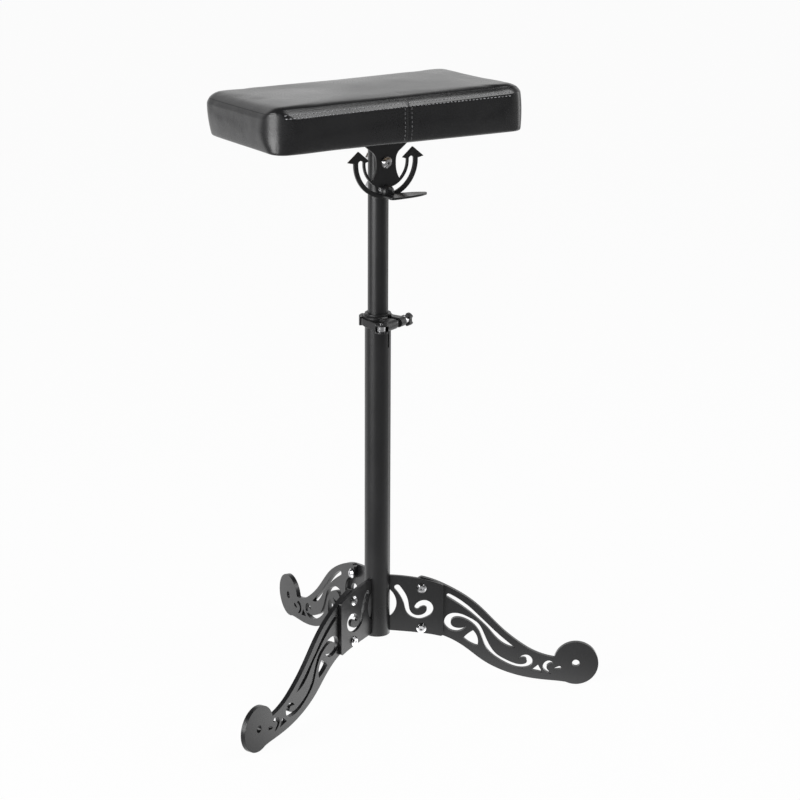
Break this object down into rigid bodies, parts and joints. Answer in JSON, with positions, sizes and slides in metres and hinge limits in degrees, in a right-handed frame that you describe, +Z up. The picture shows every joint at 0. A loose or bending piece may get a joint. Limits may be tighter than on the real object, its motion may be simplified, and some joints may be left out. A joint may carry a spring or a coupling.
{
  "type": "tattoo arm rest stand",
  "caption": "Padded arm rest that tilts on an anchor-shaped bracket, on a telescopic column with a quick-release clamp and scroll-cut plate legs.",
  "frame": {"origin": "on the floor, on the column's axis", "axes": "+Z up along the column, +X along the pad's long side, +Y from the tilt bracket's plate towards the rear leg"},
  "size_m": [0.4932, 0.4316, 0.7545],
  "materials": {
    "black_steel": "satin black powder coat",
    "black_alloy": "gloss black enamel on cast alloy",
    "chrome": "bright plated steel",
    "black_plastic": "moulded black plastic",
    "leatherette": "glossy black faux leather",
    "plywood": "bare birch plywood"
  },
  "bodies": {
    "base": {"outer_tube": "black_steel", "wing_right": "black_steel", "wing_rear": "black_steel", "wing_left": "black_steel", "leg_right": "black_steel", "leg_rear": "black_steel", "leg_left": "black_steel", "leg_screws": "chrome", "leg_nuts": "chrome", "clamp_collar": "black_alloy", "clamp_rod": "chrome", "cam_pin": "chrome", "cam_seat": "black_plastic", "rod_ferrule": "chrome"},
    "clamp_handle": {"clamp_lever": "black_alloy", "lever_grip": "black_plastic"},
    "clamp_knob": {"thumb_nut": "black_plastic"},
    "swivel": {"guide_bush": "black_plastic"},
    "column": {"inner_tube": "black_steel", "tube_spacers": "chrome", "tilt_washers": "chrome", "pivot_bolt": "chrome", "pivot_nut": "chrome", "lock_bolt": "chrome"},
    "tilt_lock": {"lock_nut": "black_alloy", "lock_lever": "black_steel"},
    "head": {"tilt_bracket": "black_steel", "pad_board": "plywood", "pad_cushion": "leatherette", "cover_hem": "leatherette", "board_screws": "chrome", "board_inserts": "chrome"}
  },
  "joints": [
    {"name": "pad_swivel", "type": "hinge", "parent": "base", "child": "swivel", "pos_m": [0, 0, 0.482], "axis": [0, 0, 1], "continuous": true},
    {"name": "column_height", "type": "slide", "parent": "swivel", "child": "column", "axis": [0, 0, 1], "range_m": [-0.145, 0.295]},
    {"name": "pad_tilt", "type": "hinge", "parent": "column", "child": "head", "pos_m": [0, -0.0176, 0.672], "axis": [0, 1, 0], "range_deg": [-45, 45]},
    {"name": "tilt_lock_turn", "type": "hinge", "parent": "column", "child": "tilt_lock", "pos_m": [0, -0.0255, 0.6375], "axis": [0, -1, 0], "range_deg": [0, 75]},
    {"name": "clamp_handle_swing", "type": "hinge", "parent": "base", "child": "clamp_handle", "pos_m": [-0.01668, -0.03757, 0.4745], "axis": [0, 0, 1], "range_deg": [0, 120]},
    {"name": "clamp_knob_turn", "type": "hinge", "parent": "base", "child": "clamp_knob", "pos_m": [0.0328, -0.0145, 0.4745], "axis": [0.9063, 0.4226, 0], "continuous": true}
  ]
}
